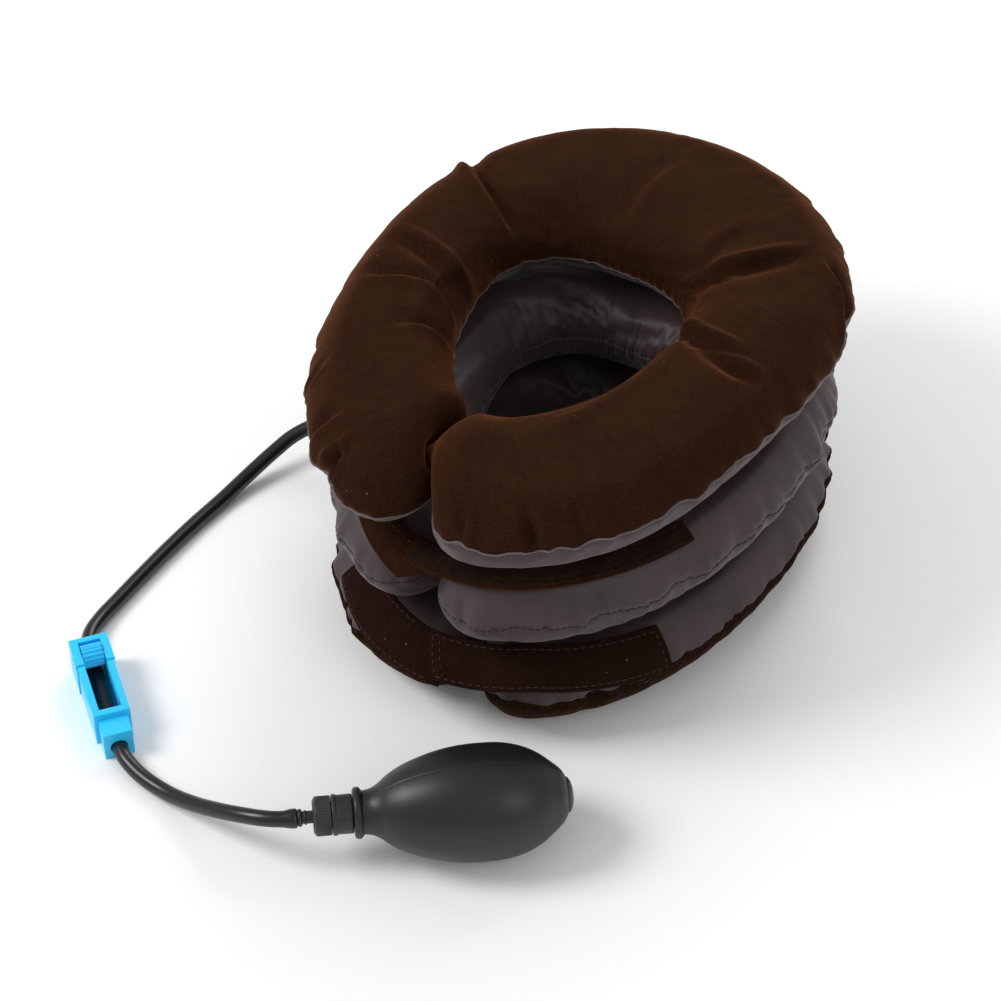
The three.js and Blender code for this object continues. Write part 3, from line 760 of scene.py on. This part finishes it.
# The edges of the straps, tabs and patches, as rows of [t, phi low, phi high] in degrees.
EDGES = {
    "lower_base": [[213, 26, 60], [198, 19, 60], [178, 17, 58]],
    "lower_strap": [[184, 23, 58], [160, 25, 60], [132, 10, 50]],
    "lower_loop": [[168, 28, 57], [134.5, 14, 47]],
    "lower_hook": [[154, 26, 55], [135, 14, 48]],
    "upper_base": [[207, 42, 62], [187.5, 27, 62], [182, 42, 62], [172, 47, 62]],
    "upper_strap": [[188, 42, 62], [150, 42, 62], [125, 40, 58]],
    "upper_loop": [[165, 45, 60], [128, 44, 56]],
    "upper_hook": [[150, 45, 60], [129, 44, 56]],
    "upper_facing": [[186.5, 44.5, 61.5], [150, 44.5, 61.5], [125.6, 42.5, 57.5]],
}
EDGES = {name: np.array(sorted(rows), float) for name, rows in EDGES.items()}
COVERED = {"lower": ["lower_base", "lower_strap"], "middle": ["upper_base", "upper_strap"], "top": []}


PUCKER_SIZE = {"lower": (2.3, 0.8), "middle": (2.3, 0.8), "top": (1.5, 0.3)}  # at outer and inner seam
# Where a tier's cloth starts to be held in above and below its middle, and how much room is left.
HEIGHT_LIMITS = {
    "lower": ((23.0, 0.8), (21.3, 1.7)), "middle": ((23.0, 0.8), (23.0, 0.8)),
    "top": ((23.0, 12), (23.0, 0.8)),
}
COVERED_OFFSET = -0.4  # how far the cloth lies below the CAD's surface under a band
HEM = (1.2, 4)  # how far the turned-in edge reaches into the seam, in two steps


def hemmed_mesh(piece, grid, normals, along, across, material):
    """A panel's mesh, with its long edges turned in and its ends at the arms closed."""
    start, end = grid[:, :1], grid[:, -1:]
    full = np.concatenate([
        *(start - normals[:, :1] * depth for depth in reversed(HEM)), grid,
        *(end - normals[:, -1:] * depth for depth in HEM),
    ], 1)
    v = np.concatenate([across[:, :1] - np.array([HEM[::-1]]), across, across[:, -1:] + np.array([HEM])], 1)
    uv = np.stack([np.repeat(along[:, None], v.shape[1], 1), v], -1)
    rows, columns = full.shape[:2]
    points = np.concatenate([full.reshape(-1, 3), full[0].mean(0)[None], full[-1].mean(0)[None]])
    uv = np.concatenate([uv.reshape(-1, 2), uv[0].mean(0)[None], uv[-1].mean(0)[None]])
    faces = grid_faces(rows, columns)
    for j in range(columns - 1):
        faces.append((rows * columns, j, j + 1))
        faces.append((rows * columns + 1, (rows - 1) * columns + j + 1, (rows - 1) * columns + j))
    return make_object(piece, points, faces, material, uv)


def cover_panel(name, upper, rng, gathers, piece, material, softness, folds):
    """One cloth panel of a tier: refined, gathered at its seams, folded, and hemmed."""
    tier = TIERS[name]
    _, phi, s = plain[name]
    closed = np.concatenate([blown[name], blown[name][:, :1]], 1)
    first = 0 if upper else ARC
    grid = refine(closed[:, first:first + ARC + 1])
    place = np.linspace(0, len(s) - 1, len(grid))
    t, scale, along = (np.interp(place, np.arange(len(s)), v) for v in (STATION_T, STATION_SCALE, s))
    phi = np.concatenate([phi, phi[:, :1] + 2 * math.pi], 1)
    phi_grid = refine(phi[:, first:first + ARC + 1])
    t_grid = tier_angles(name, t[:, None], phi_grid)
    steps = np.linalg.norm(np.diff(grid, axis=1), axis=2)
    across = np.concatenate([np.zeros((len(grid), 1)), np.cumsum(steps, 1)], 1)
    back = across[:, -1:] - across
    from_outer, from_inner = (across, back) if upper else (back, across)
    normals = grid_normals(grid)
    if (normals[..., 2] * (1 if upper else -1)).mean() < 0:
        normals = -normals
    outward = np.zeros_like(normals)
    outward[..., :2] = ring_frame(tier, t_grid)[1]
    at_outer, at_inner = np.exp(-from_outer / 2.5)[..., None], np.exp(-from_inner / 2.5)[..., None]
    normals = normals * (1 - at_outer - at_inner) + outward * (at_outer - at_inner)
    covered = np.zeros(grid.shape[:2])
    for patch in COVERED[name]:
        covered = np.maximum(covered, patch_mask(t_grid, phi_grid, EDGES[patch]))
    outer_size, inner_size = PUCKER_SIZE[name]
    moved = puckers(rng, along, from_outer, gathers[0], outer_size, softness)
    moved += puckers(rng, along, from_inner, gathers[1], inner_size, softness)
    moved -= 0.7 * np.exp(-from_outer / 0.9) + 0.5 * np.exp(-from_inner / 0.9)
    for line, depth, width, ridge, side in folds:
        moved += crease(grid, normals, tier, line, FOLD_DEPTH * depth, width, ridge, side)
    moved *= (1 - 0.85 * covered) * scale[:, None] ** 0.5
    grid = grid + normals * moved[..., None]
    flush = tier_surface(tier, t_grid, phi_grid, COVERED_OFFSET, scale[:, None])
    grid = grid + (flush - grid) * covered[..., None]
    above, below = HEIGHT_LIMITS[name]
    height = soft_limit(grid[..., 2] - tier["z"], *above)
    grid[..., 2] = tier["z"] - soft_limit(-height, *below)
    obj = hemmed_mesh(piece, grid, normals, along, across, material)
    return obj, grid, outward[:, 0 if upper else -1]


# The body each tier rides on, and a height that is not used.
TIER_BODIES = {"lower": ("base", 0), "middle": ("middle_tier", 49.15), "top": ("top_tier", 98.15)}


def flatten_with(obj, body):
    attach(obj, body)
    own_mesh(obj)


def ride_tier(obj, tier):
    body, anchor = TIER_BODIES[tier]
    flatten_with(obj, body)


# ---------------------------------------------------------------- stitching and seam lips
STITCH_RINGS, STITCH_SIDES = 5, 6


def stitches(name, path, normals, material, pitch, length, radius, lift):
    """A row of separate stitches along a path, each an arch that dips into the cloth at both ends."""
    lengths = arc_lengths(path)
    points, faces = [], []
    ring = np.arange(STITCH_SIDES) * 2 * math.pi / STITCH_SIDES
    size = STITCH_RINGS, STITCH_SIDES
    one_stitch = grid_faces(*size, wrap=True) + end_caps(*size)
    for k in range(int(lengths[-1] // pitch)):
        start = k * pitch + 0.3
        base = len(points) * STITCH_SIDES
        for u in np.linspace(0, 1, STITCH_RINGS):
            at = start + u * length
            spot = at_distance(path, lengths, at)
            ahead = at_distance(path, lengths, at + 0.5) - spot
            normal = at_distance(normals, lengths, at)
            normal /= np.linalg.norm(normal)
            side = np.cross(ahead, normal)
            side /= max(np.linalg.norm(side), 1e-9)
            rise = lift + radius * (1.6 * math.sin(math.pi * u) - 0.9)
            thin = radius * (0.55 + 0.45 * math.sin(math.pi * u))
            middle = spot + normal * rise
            points.append(
                middle + np.outer(np.cos(ring), side) * thin + np.outer(np.sin(ring), normal) * thin
            )
        faces += [tuple(base + q for q in face) for face in one_stitch]
    return make_object(name, np.concatenate(points), faces, material)


def lip(name, path, radius, material):
    """A thin raised edge of cloth along a seam."""
    lengths = arc_lengths(path)
    return sweep(name, path, [(s, radius) for s in np.linspace(0, lengths[-1], len(path))], 8, material)


def build_covers():
    """The six panels. Both panels of a tier share the gathers at their seams. The plan's rows are
    tier, whether it is the upper panel, piece, material, softness, folds, and nodes it stands for."""
    rng = np.random.default_rng(5)
    plan = [
        ("top", True, "top_velvet_cover", "velvet", 0.7, VELVET_FOLDS, ["top_tier_top_panel"]),
        ("top", False, "top_satin_cover", "satin", 1.0, (), ["top_tier_bottom_panel", "top_bladder"]),
        ("middle", True, "middle_upper_cover", "satin", 1.0, (), ["middle_tier_top_panel"]),
        ("middle", False, "middle_lower_cover", "satin", 1.0, (),
         ["middle_tier_bottom_panel", "middle_bladder"]),
        ("lower", True, "lower_satin_cover", "satin", 1.0, (), ["lower_tier_top_panel"]),
        # The lower velvet cover uses the darker velvet copy: painted shade.
        ("lower", False, "lower_velvet_cover", "rim", 0.7, (), ["lower_tier_bottom_panel", "lower_bladder"]),
    ]
    gathers = {name: [seam_gathers(rng, plain[name][2][-1], 6.5) for _ in range(2)] for name in TIERS}
    made = {}
    for tier, upper, piece, material, softness, folds, stands_for in plan:
        obj, grid, outward = cover_panel(tier, upper, rng, gathers[tier], piece, material, softness, folds)
        if piece == "top_velvet_cover":
            flatten_with(obj, "crown")
        else:
            ride_tier(obj, tier)
        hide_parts(*stands_for)
        made[piece] = (grid, outward)
    return made


def build_seams(made):
    """Thread and lips along the outer seams, and along the top tier's inner seam."""
    uppers = {"top": "top_velvet_cover", "middle": "middle_upper_cover", "lower": "lower_satin_cover"}
    for tier, cover in uppers.items():
        grid, outward = made[cover]
        path = grid[3:-3, 0]
        out = outward[3:-3]
        thread = stitches(tier + "_seam_thread", path - out * 0.1, out, "thread", 3.1, 2.95, 0.27, 0.2)
        ride_tier(thread, tier)
    grid, outward = made[uppers["top"]]
    for name, path, out, radius, material in (
        # The outer lip's satin is paler than the panel's: a painted highlight on the seam's edge.
        ("top_outer_lip", grid[2:-2, 1], outward[2:-2], 0.5, "lip_highlight_satin"),
        ("top_inner_lip", grid[2:-2, -2], -outward[2:-2], 0.4, "tape"),
    ):
        edge = lip(name, path + out * 0.25 - np.array([0, 0, 0.5]), radius, material)
        ride_tier(edge, "top")
    grid, outward = made[uppers["lower"]]
    rim = lip("lower_outer_lip", grid[2:-2, 1] + outward[2:-2] * 0.2, 0.5, "strap")
    ride_tier(rim, "lower")


build_seams(build_covers())


# ---------------------------------------------------------------- straps and tabs
WEAVE_CELL = 0.4  # length of one cell of a band, in degrees of t
SEWN_DENT = 0.28  # depth of the line along which a band is sewn down, in mm
SEWN_INSET = 2.2  # how far in from the edge that line runs, in mm
CORNER = 0.9  # radius of a band's corners, in mm


def band_point(tier, edges, td, v, height):
    low = np.interp(td, edges[:, 0], edges[:, 1])
    high = np.interp(td, edges[:, 0], edges[:, 2])
    return tier_surface(tier, np.radians(td), np.radians(low + (high - low) * v), height)


def band_section():
    """A band's rounded section as (share of its width, share of its thickness), all the way round."""
    outer = [(0, 0.3), (0, 0.7), (0.02, 0.93), (0.045, 1)] + [(v, 1) for v in np.linspace(0.08, 0.92, 22)]
    outer += [(0.955, 1), (0.98, 0.93), (1, 0.7)]
    under = [(1, 0.3), (0.98, 0.06), (0.95, 0)] + [(v, 0) for v in np.linspace(0.9, 0.1, 9)]
    return np.array(outer + under + [(0.05, 0), (0.02, 0.06)]).T


def band(name, tier, edges, inside, thickness, material, rng, pile=0.0, slant=0.0):
    """A thick cloth band laid on a tier between two edge lines, with rounded edges and corners.

    inside is its underside's height over the tier, pile the roughness of its face, and slant how many
    degrees the far end's lower corner is drawn back. Gives the piece and its flat width and length."""
    first, last = edges[0, 0], edges[-1, 0]
    ends = np.array([0, 0.12, 0.35, 0.7, 1.1])
    between = np.linspace(first + 1.6, last - 1.6, int((last - first) / WEAVE_CELL))
    td = np.concatenate([first + ends, between, last - ends[::-1]])
    s = arc_lengths(band_point(tier, edges, td, 0.5, inside))
    far_side, near_side = (band_point(tier, edges, td, side, inside) for side in (1.0, 0.0))
    wide = np.linalg.norm(far_side - near_side, axis=1)
    v, h = band_section()
    from_end = np.minimum(s, s[-1] - s)
    cut = np.maximum(CORNER - from_end, 0)
    shrink = 1 - 2 * (CORNER - np.sqrt(CORNER**2 - cut**2)) / np.maximum(wide, 4)
    vs = 0.5 + (v[None, :] - 0.5) * shrink[:, None]
    far = np.clip((td - last + 25) / 25, 0, 1)
    tds = td[:, None] - slant * (1 - vs) * far[:, None] ** 2
    edge_gap = np.minimum(np.minimum(vs, 1 - vs) * wide[:, None], from_end[:, None])
    ripple = sum(
        np.sin(s[:, None] * rng.uniform(0.12, 0.5) + vs * rng.uniform(-5, 5) + rng.uniform(0, 6))
        for _ in range(5)
    ) / 5
    rise = h * thickness + h * 0.2 * (1 + ripple) * np.minimum(1, edge_gap / 3)
    rise = rise - h * SEWN_DENT * np.exp(-(((edge_gap - SEWN_INSET) / 0.45) ** 2))
    rise = rise + (h > 0.9) * pile * rng.uniform(0, 1, rise.shape)
    points = band_point(tier, edges, tds, vs, inside + rise)
    size = len(td), len(v)
    faces = grid_faces(*size, wrap=True) + end_caps(*size)
    width = wide.mean()
    round_way = np.cumsum(np.hypot(np.diff(v, append=v[0]) * width, np.diff(h, append=h[0]) * thickness))
    uv = np.stack([np.repeat(s[:, None], size[1], 1), np.repeat(round_way[None], size[0], 0)], -1)
    obj = make_object(name, points.reshape(-1, 3), faces, material, uv.reshape(-1, 2))
    return obj, (float(width * MM), float(s[-1] * MM))


def band_stitches(name, tier, edges, height, corners):
    """A stitched line on a band, through corners given as (t, share of the band's width)."""
    legs = []
    for (t0, v0), (t1, v1) in zip(corners, corners[1:]):
        u = np.linspace(0, 1, 40, endpoint=False)
        legs.append((t0 + (t1 - t0) * u, v0 + (v1 - v0) * u))
    td, v = (np.concatenate([leg[k] for leg in legs]) for k in (0, 1))
    path = band_point(tier, edges, td, v, height)
    above = band_point(tier, edges, td, v, height + 1)
    return stitches(name, path, above - path, "pale_thread", pitch=3.6, length=2.6, radius=0.22, lift=0.05)


CLOSURE_TIER = {"lower": "lower", "upper": "middle"}
STRAP_CLOTH = {"lower": "strap", "upper": "velvet"}
STRAP_SLANT = {"lower": 4.5, "upper": 0}


def fix_band(obj, closure, swings):
    """A layer of a closure swings with its strap, or stays on its tier."""
    tier = CLOSURE_TIER[closure]
    if swings:
        flatten_with(obj, closure + "_strap")
    else:
        ride_tier(obj, tier)


# Each layer of a closure: the height of its underside, thickness, pile, whether it swings with the
# strap, and the end of its CAD node's name.
LAYERS = {
    "base": (0.5, 1.2, 0, False, "_base_tab"), "loop": (0.5, 0.8, 0.2, False, "_loop_patch"),
    "hook": (1.6, 0.8, 0.2, True, "_hook_tape"), "strap": (2.7, 1.2, 0, True, "_strap"),
}


def build_straps():
    rng = np.random.default_rng(3)
    for closure, tier in CLOSURE_TIER.items():
        for layer, (inside, thickness, pile, swings, node) in LAYERS.items():
            part = f"{closure}_{layer}"
            material, slot = ("hook", "hook_tape") if pile else (STRAP_CLOTH[closure], "velvet")
            slant = STRAP_SLANT[closure] if layer == "strap" else 0
            obj, flat = band(
                part + "_piece", TIERS[tier], EDGES[part], inside, thickness, material, rng, pile, slant,
            )
            fix_band(obj, closure, swings)
            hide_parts(closure + node)
    facing, _ = band("upper_strap_pile", TIERS["middle"], EDGES["upper_facing"], 3.8, 0.5, "hook", rng, 0.35)
    fix_band(facing, "upper", True)


def build_strap_stitching():
    """Rows of name, closure, layer, height and corners."""
    box = [(178.8, 0.1), (133.2, 0.12), (133.2, 0.88), (182.6, 0.9), (178.8, 0.1)]
    tab = [(181, 0.08), (211.5, 0.1), (211.5, 0.9), (187, 0.93)]
    rows = [
        ("lower_strap_stitches", "lower", "strap", 3.9, box),
        ("lower_strap_end_stitches", "lower", "strap", 3.9, [(177.2, 0.1), (181, 0.9)]),
        ("lower_base_stitches", "lower", "base", 1.7, tab),
        ("upper_base_stitches", "upper", "base", 1.7, [(205.5, 0.8), (174, 0.8)]),
    ]
    for name, closure, layer, height, corners in rows:
        row = band_stitches(name, TIERS[CLOSURE_TIER[closure]], EDGES[f"{closure}_{layer}"], height, corners)
        fix_band(row, closure, layer == "strap")


build_straps()
build_strap_stitching()


# ---------------------------------------------------------------- clamp and hand pump
BULB_WIDEST = 23  # mean radius at the parting line


def build_bulb():
    outline = [
        (9.3, -3.9), (9.6, -1.6), (11.2, 2), (14.6, 6.4), (17.6, 11.5), (20.6, 19), (22.9, 27), (24.4, 35.5),
        (24.9, 46), (24.3, 56), (22.2, 64), (18.9, 70.5), (14.6, 76), (10.6, 80.2), (7.6, 81.8),
    ]
    body = [tuple(p) for p in spline(outline, 90)]
    bead = rounded([(6.3, -8.2), (9.9, -8.3), (10.9, -7.4), (10.9, -5.6), (10.1, -4.8), (9.3, -4.3)], 0.9, 6)
    rings = [(h + PUMP_BEHIND, r) for r, h in bead + body]
    near = np.array([-2.4, -1.5, -0.9, -0.5, -0.25, 0, 0.25, 0.5, 0.9, 1.5, 2.4])
    wide = [a for a in range(0, 360, 5) if min(abs(a - 90), abs(a - 270)) > 3]
    angles = np.radians(np.sort(np.concatenate([wide, 90 + near, 270 + near])))

    def parting_line(distance, angles):
        off = np.minimum(abs(angles - math.pi / 2), abs(angles - 3 * math.pi / 2)) * BULB_WIDEST
        present = 3 < distance - PUMP_BEHIND < 78
        return present * (0.16 * np.exp(-((off / 0.3) ** 2)) - 0.1 * np.exp(-((off / 0.8) ** 2)))

    bulb = sweep("squeeze_bulb", pump_path(), rings, angles, "bulb", parting_line)
    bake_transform(bulb)
    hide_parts("bulb")


def knurls(low, high, count, depth):
    """Grooves along a turned piece, between two distances along its path."""
    def ridge(distance, angles):
        inside = min(1, max(0, min(distance - low, high - distance) / 0.5))
        return -depth * inside * (0.5 + 0.5 * np.cos(count * angles)) ** 0.7
    return ridge


def build_pump():
    build_bulb()
    stem = turned("barbed_stem", [
        (1.2, -26), (1.2, -31.6), (1.6, -31.9), (3.2, -31.9), (3.7, -31.3), (3.8, -30.2), (3.2, -29.8),
        (2.7, -29.6), (2.7, -28.9), (3.15, -28.7), (3.15, -28.1), (2.7, -27.9), (2.7, -24.4), (5.0, -24.1),
        (5.0, -23),
    ], "valve", fillet=0.25)
    collar = turned("knurled_collar", [
        (3.2, -23.4), (3.2, -25.3), (6.7, -25.3), (8.4, -24.2), (8.4, -18.0), (8.0, -17.5), (5.7, -17.5),
        (5.7, -19),
    ], "valve", sides=252, fillet=0.35, ridge=knurls(16.2, 22.2, 42, 0.5))
    neck = turned("valve_neck", [
        (5.0, -20.6), (5.2, -17.4), (8.4, -17.3), (8.8, -16.9), (8.8, -15.7), (8.4, -15.4), (8.3, -14.8),
        (8.4, -9.0), (8.1, -8.5), (5.9, -8.4), (5.9, 4.6),
    ], "valve", sides=96, fillet=0.4)
    tail = turned("tail_valve", [
        (5.4, 74), (5.6, 80.3), (7.4, 80.6), (7.9, 81.3), (7.7, 82.2), (6.2, 83.4), (3.6, 84.2), (2.1, 84.3),
        (1.5, 83.9), (1.3, 82.8), (1.3, 78.4),
    ], "valve", sides=64, fillet=0.5)
    for obj, body, node in (
        (stem, "base", "hose_stem"), (collar, "release_collar", "release_collar"),
        (neck, "base", "valve_body"), (tail, "base", "tail_valve_housing"),
    ):
        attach(obj, body)
        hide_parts(node)


build_pump()


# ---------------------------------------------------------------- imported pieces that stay
# The material of each, and the width of its bevel in mm.
KEPT = {
    "clamp_body": ("blue", 0.45), "clamp_roller": ("blue", 0.2), "clamp_roller_pin": ("steel", 0.15),
    "hose_port": ("valve", 0.5), "stem_seal": ("seal", 0), "outlet_check_disc": ("seal", 0.15),
    "tail_check_ball": ("seal", 0), "lower_seam_tape": ("tape", 0), "upper_seam_tape": ("tape", 0),
    "lower_air_passage": ("film", 0.2), "upper_air_passage": ("film", 0.2),
}
for name, (material, edge) in KEPT.items():
    kept = nodes[name]
    kept.data.materials.clear()
    kept.data.materials.append(MATERIALS[material])
    if edge:
        add_bevel(kept, edge)
